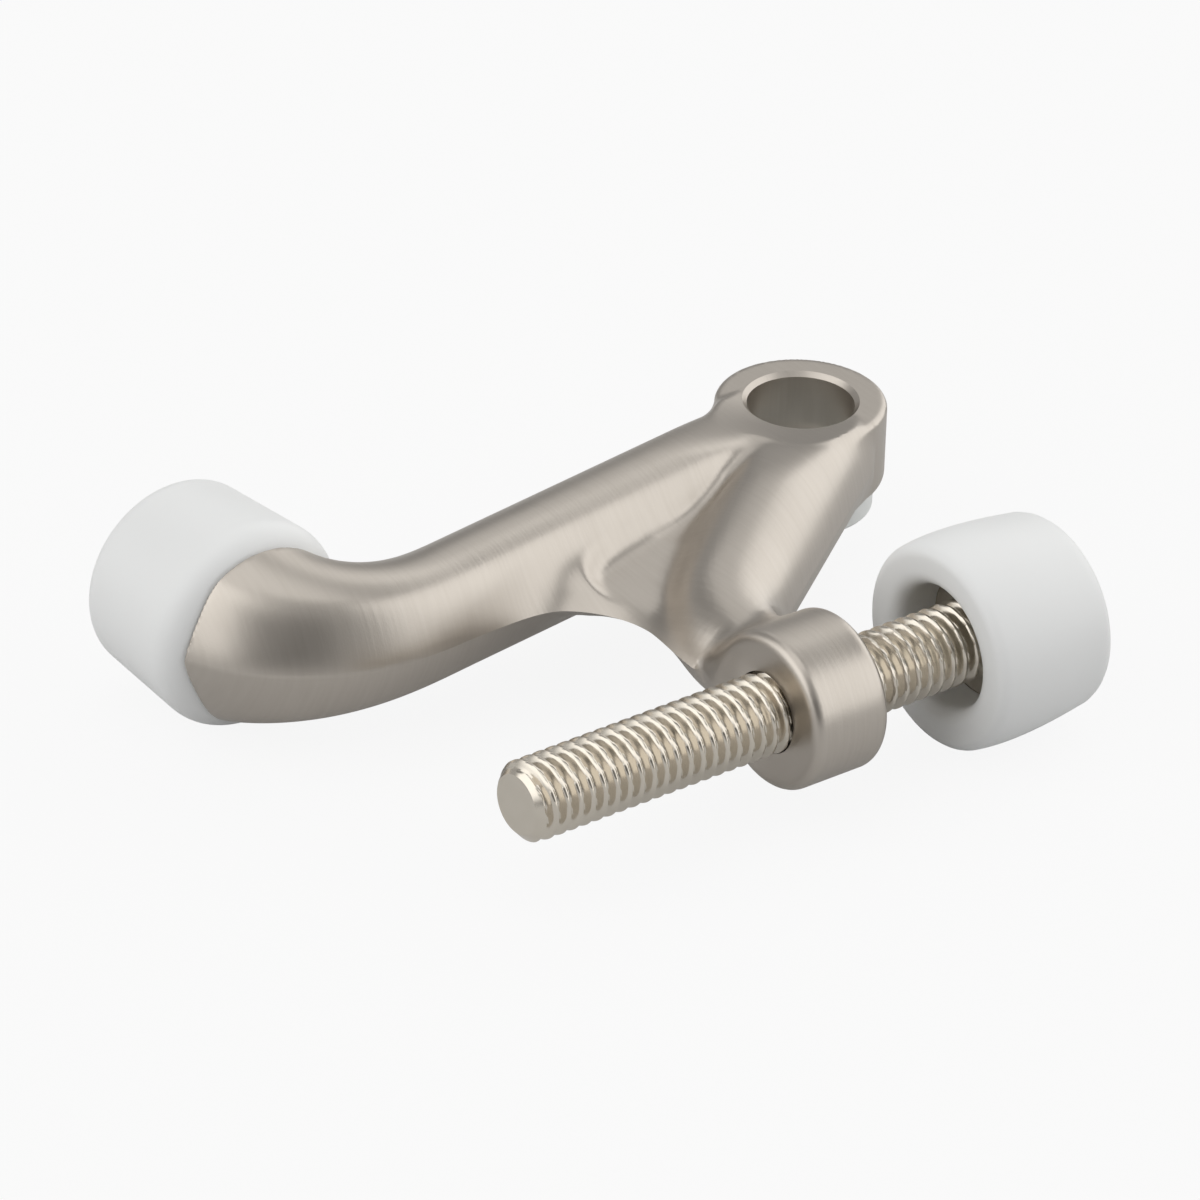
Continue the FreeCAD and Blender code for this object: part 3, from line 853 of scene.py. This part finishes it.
# Camera.
camera_data = bpy.data.cameras.new("camera")
camera_data.sensor_fit = "HORIZONTAL"
camera_data.sensor_width = CAMERA_SENSOR
camera_data.lens = CAMERA_LENS
camera_data.clip_start, camera_data.clip_end = CAMERA_CLIP
camera = bpy.data.objects.new("camera", camera_data)
scene.collection.objects.link(camera)
camera.matrix_world = CAMERA_PLACE
scene.camera = camera


def sums(tree, operation, first, second):
    """A sum of two values or sockets, as a socket."""
    node = linked(tree, "ShaderNodeMath", {0: first, 1: second})
    node.operation = operation
    return node.outputs[0]


def shown_white(tree):
    """How white a ray sees the stage: wholly from the camera, partly in reflections, else not at all."""
    sight = linked(tree, "ShaderNodeLightPath")
    seen = sums(tree, "MULTIPLY", sight.outputs["Is Glossy Ray"], GLOSSY_WHITE)
    seen = sums(tree, "MAXIMUM", seen, sight.outputs["Is Camera Ray"])
    return sums(tree, "MAXIMUM", seen, sight.outputs["Is Transmission Ray"])


# Floor, under the bumpers.
floor_corners = [(x, y, FLOOR_Z) for x, y in (
    (-FLOOR_REACH, -FLOOR_REACH),
    (FLOOR_REACH, -FLOOR_REACH),
    (FLOOR_REACH, FLOOR_REACH),
    (-FLOOR_REACH, FLOOR_REACH),
)]
floor_mesh = bpy.data.meshes.new("floor")
floor_mesh.from_pydata(floor_corners, [], [(0, 1, 2, 3)])
floor = bpy.data.objects.new("floor", floor_mesh)
scene.collection.objects.link(floor)
floor_material, floor_shader = principled("floor_white", FLOOR_COLOR, 0.0, FLOOR_ROUGHNESS)
floor_tree = floor_material.node_tree
glow = linked(floor_tree, "ShaderNodeEmission", {"Color": (1.0, 1.0, 1.0, 1.0)})
floor_mix = linked(floor_tree, "ShaderNodeMixShader", {
    0: sums(floor_tree, "MULTIPLY", shown_white(floor_tree), FLOOR_WHITE),
    1: floor_shader.outputs[0],
    2: glow.outputs[0],
})
floor_tree.links.new(floor_mix.outputs[0], floor_tree.nodes["Material Output"].inputs["Surface"])
floor_mesh.materials.append(floor_material)

# The room, painted on the world by direction.
world = bpy.data.worlds.new("studio")
scene.world = world
world.use_nodes = True
room_tree = world.node_tree
background = room_tree.nodes["Background"]


def eased(value, low, high):
    """0 at low to 1 at high, eased, as a socket."""
    node = linked(room_tree, "ShaderNodeMapRange", {0: value, 1: low, 2: high, 3: 0.0, 4: 1.0})
    node.interpolation_type = "SMOOTHSTEP"
    return node.outputs[0]


def vector_sum(operation, inputs):
    """A sum of vectors, as a node."""
    node = linked(room_tree, "ShaderNodeVectorMath", inputs)
    node.operation = operation
    return node


def sine(degrees):
    """The sine of an angle in degrees, which is the height of a direction."""
    return math.sin(math.radians(degrees))


direction = linked(room_tree, "ShaderNodeTexCoord").outputs["Generated"]
level_part = vector_sum("MULTIPLY", {0: direction, 1: (1.0, 1.0, 0.0)})
bearing = vector_sum("NORMALIZE", {0: level_part.outputs[0]}).outputs[0]
sky_height = linked(room_tree, "ShaderNodeSeparateXYZ", {0: direction}).outputs[2]


def moved(under, goal, share):
    """A strength moved towards a goal by a share, as a socket."""
    gap = sums(room_tree, "SUBTRACT", goal, under)
    return sums(room_tree, "ADD", under, sums(room_tree, "MULTIPLY", gap, share))


def paint(under, strength, azimuth, half_width, soft_width, low, high, soft_height):
    """Paint a soft patch of the room over what is there: angles in degrees, azimuth from +X towards +Y."""
    angle = math.radians(azimuth)
    facing = vector_sum("DOT_PRODUCT", {0: bearing, 1: (math.cos(angle), math.sin(angle), 0.0)})
    outer = math.cos(math.radians(min(half_width + soft_width, 180)))
    inner = math.cos(math.radians(max(half_width - soft_width, 0)))
    mask = eased(facing.outputs["Value"], outer, inner)
    lower = eased(sky_height, sine(low - soft_height), sine(low + soft_height))
    upper = eased(sky_height, sine(high + soft_height), sine(high - soft_height))
    mask = sums(room_tree, "MULTIPLY", sums(room_tree, "MULTIPLY", mask, lower), upper)
    return moved(under, strength, mask)


ceiling = eased(sky_height, sine(CEILING_RISE[0]), sine(CEILING_RISE[1]))
room = sums(room_tree, "ADD", ROOM_LEVEL, sums(room_tree, "MULTIPLY", CEILING_GAIN, ceiling))
for patch in ROOM_PATCHES:
    room = paint(room, *patch)
room_tree.links.new(moved(room, 1.0, shown_white(room_tree)), background.inputs["Strength"])
background.inputs["Color"].default_value = ROOM_COLOR
